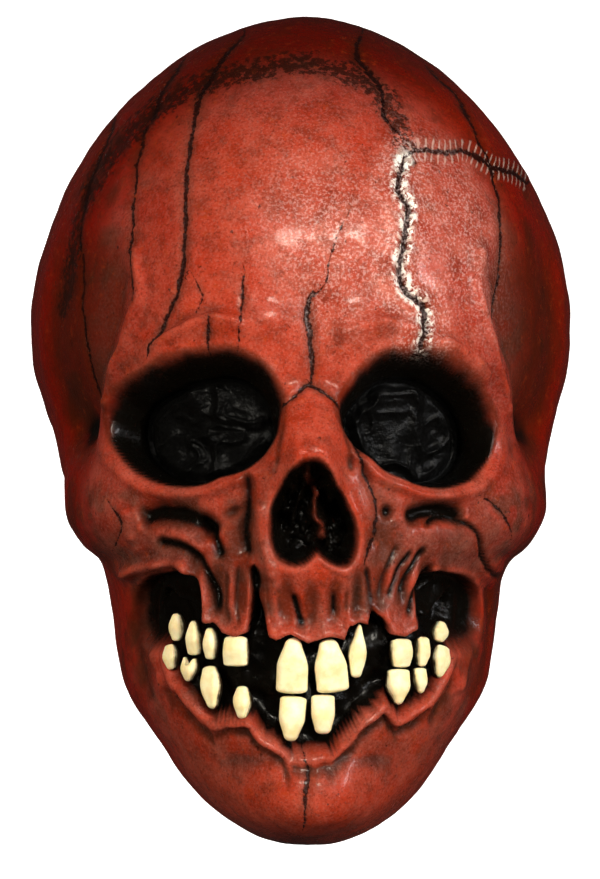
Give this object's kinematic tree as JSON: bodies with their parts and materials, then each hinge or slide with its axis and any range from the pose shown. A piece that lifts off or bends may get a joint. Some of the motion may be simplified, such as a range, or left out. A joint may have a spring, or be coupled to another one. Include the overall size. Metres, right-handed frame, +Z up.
{
  "type": "latex skull mask",
  "caption": "Over-the-head latex skull mask, open at the back, with set-in teeth, gauze eye cups, foam pads and an elastic strap that swings on studs and has a slide adjuster.",
  "frame": {"origin": "inside the mask, at the middle of the wearer's head, which is the head_cavity mount", "axes": "+Y towards the back of the head, the way the head leaves the mask (the face looks along -Y); +X towards the mask's own left; +Z up"},
  "size_m": [0.19, 0.2059, 0.2899],
  "materials": {
    "latex": "blood-red painted latex with dark washes, semi-gloss",
    "tooth": "ivory paint, satin, dark at the gum",
    "gauze": "black lacquered gauze, crumpled",
    "foam": "charcoal open-cell foam",
    "elastic": "black woven elastic",
    "buckle": "moulded black nylon",
    "rubber": "black reinforcing rubber, matt",
    "stud_metal": "nickel-plated steel, worn"
  },
  "bodies": {
    "mask": {"latex_shell": "latex", "brow_pad": "foam", "crown_pad": "foam", "right_eye_cup": "gauze", "right_temple_pad": "foam", "right_anchor_patch": "rubber", "right_strap_stud": "stud_metal", "right_stud_cap": "stud_metal", "left_eye_cup": "gauze", "left_temple_pad": "foam", "left_anchor_patch": "rubber", "left_strap_stud": "stud_metal", "left_stud_cap": "stud_metal", "upper_right_incisor": "tooth", "upper_right_premolar_1": "tooth", "upper_right_premolar_2": "tooth", "upper_right_molar_1": "tooth", "upper_right_molar_2": "tooth", "upper_left_incisor": "tooth", "upper_left_canine": "tooth", "upper_left_premolar": "tooth", "upper_left_molar_1": "tooth", "upper_left_molar_2": "tooth", "lower_right_incisor": "tooth", "lower_right_canine": "tooth", "lower_right_premolar": "tooth", "lower_right_molar_1": "tooth", "lower_right_molar_2": "tooth", "lower_left_incisor": "tooth", "lower_left_premolar": "tooth", "lower_left_molar_1": "tooth", "lower_left_molar_2": "tooth"},
    "strap": {"elastic_strap": "elastic", "strap_tail": "elastic", "right_strap_eyelet": "stud_metal", "left_strap_eyelet": "stud_metal"},
    "adjuster": {"slide_adjuster": "buckle"}
  },
  "joints": [
    {"name": "strap_swing", "type": "hinge", "parent": "mask", "child": "strap", "pos_m": [0, -0.005, 0.015], "axis": [1, 0, 0], "range_deg": [-30, 30]},
    {"name": "adjuster_slide", "type": "hinge", "parent": "strap", "child": "adjuster", "pos_m": [0, -0.02993, 0.015], "axis": [0, 0, 1], "range_deg": [-10, 10]}
  ]
}
